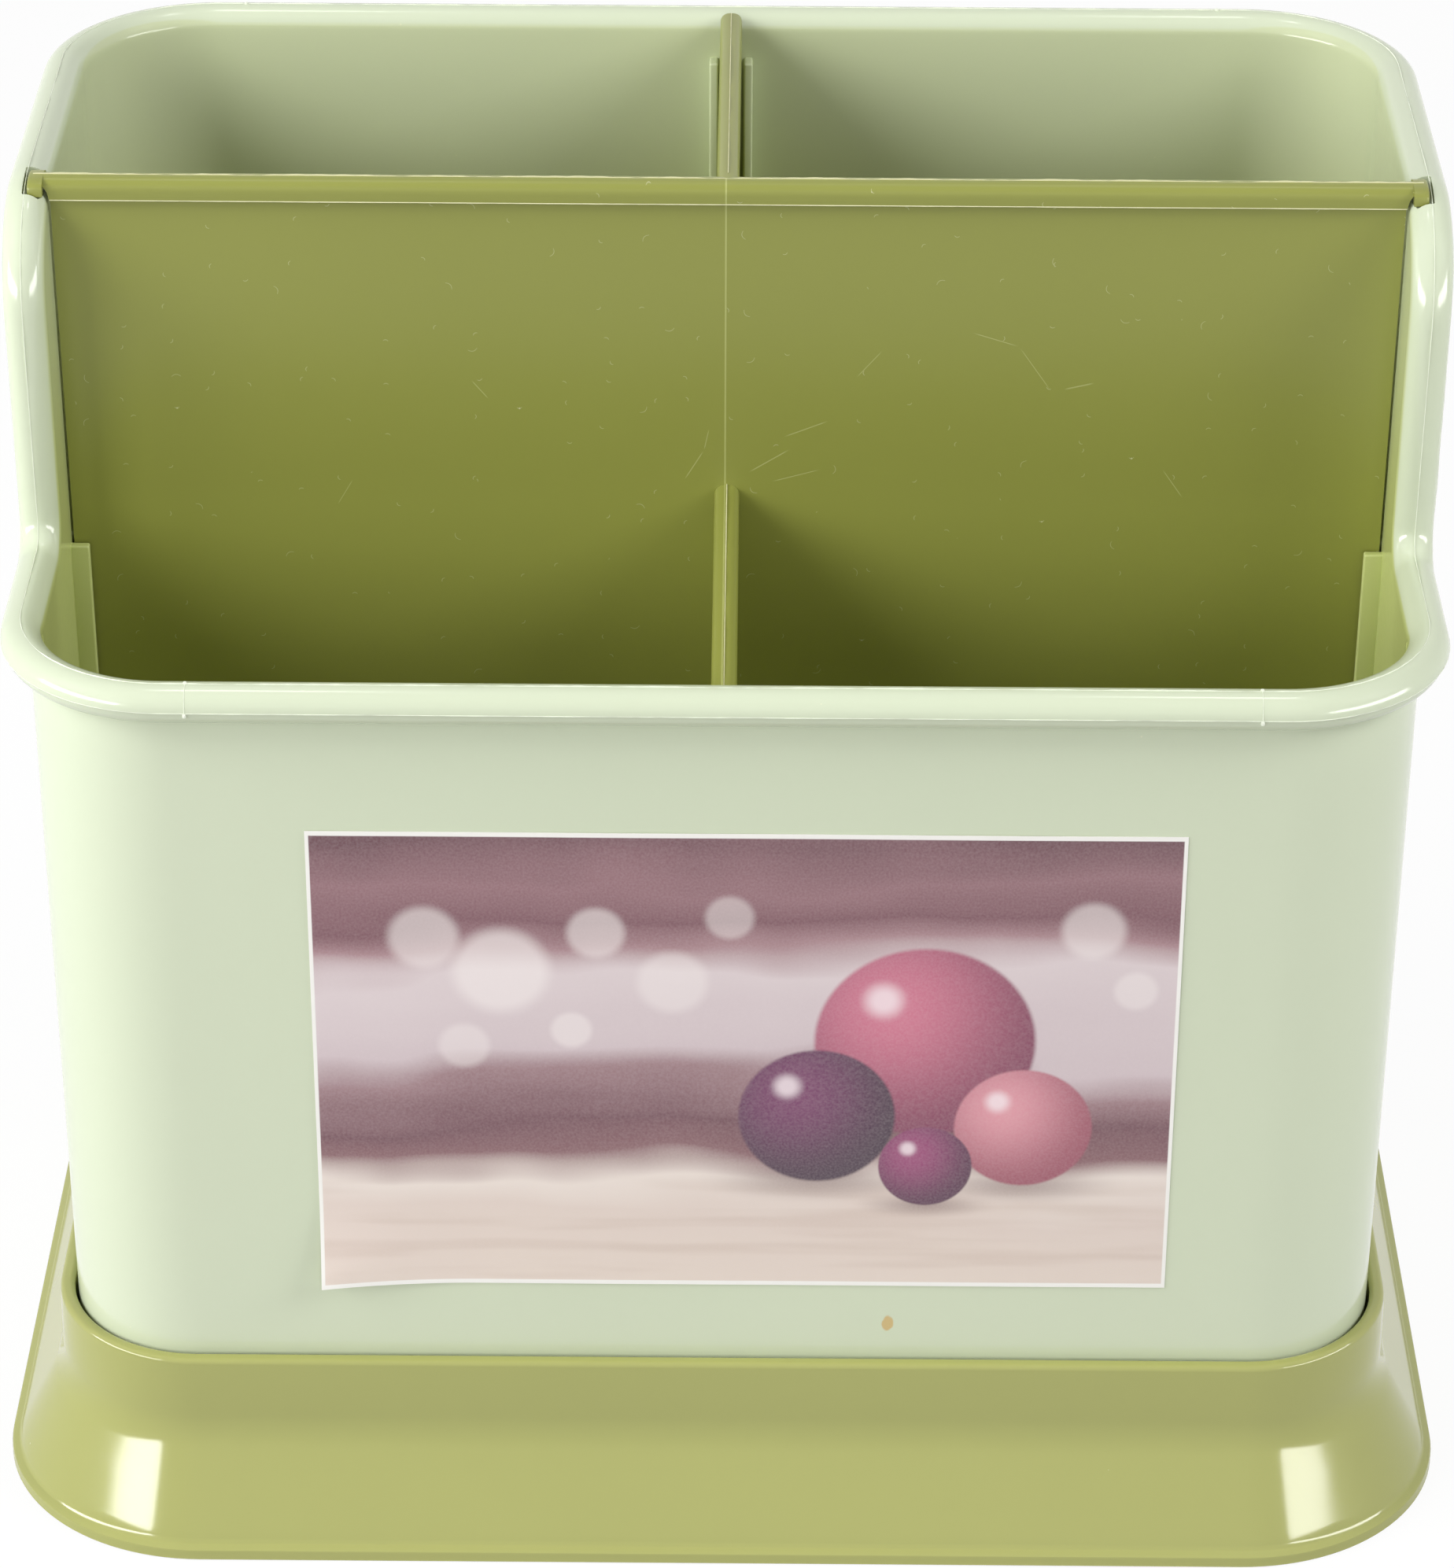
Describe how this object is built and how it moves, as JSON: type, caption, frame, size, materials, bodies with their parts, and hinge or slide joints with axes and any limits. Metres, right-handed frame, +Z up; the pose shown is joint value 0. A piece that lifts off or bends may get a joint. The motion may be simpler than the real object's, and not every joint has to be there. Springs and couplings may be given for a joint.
{
  "type": "cutlery drainer",
  "caption": "Plastic cutlery drainer: open-topped bin with a raised back half and rolled rim, lift-out cross divider, drained floor and a flared drip tray.",
  "frame": {"origin": "middle of the drip tray's flat underside, on the table", "axes": "+Z up, +X to the right along the long side as seen from the label, +Y to the back, where the bin is taller"},
  "size_m": [0.2416, 0.1572, 0.2164],
  "materials": {
    "tray_plastic": "satin olive polypropylene",
    "bin_plastic": "glossy pale green polypropylene",
    "divider_plastic": "satin olive green polypropylene",
    "label_paper": "gloss-varnished printed paper"
  },
  "bodies": {
    "tray": {"drip_tray": "tray_plastic"},
    "drainer": {"bin": "bin_plastic", "label": "label_paper"},
    "insert": {"divider": "divider_plastic"}
  },
  "joints": [
    {"name": "bin_lift", "type": "slide", "parent": "tray", "child": "drainer", "axis": [0, 0, 1], "range_m": [0, 0.06]},
    {"name": "divider_lift", "type": "slide", "parent": "drainer", "child": "insert", "axis": [0, 0, 1], "range_m": [0, 0.23]}
  ]
}
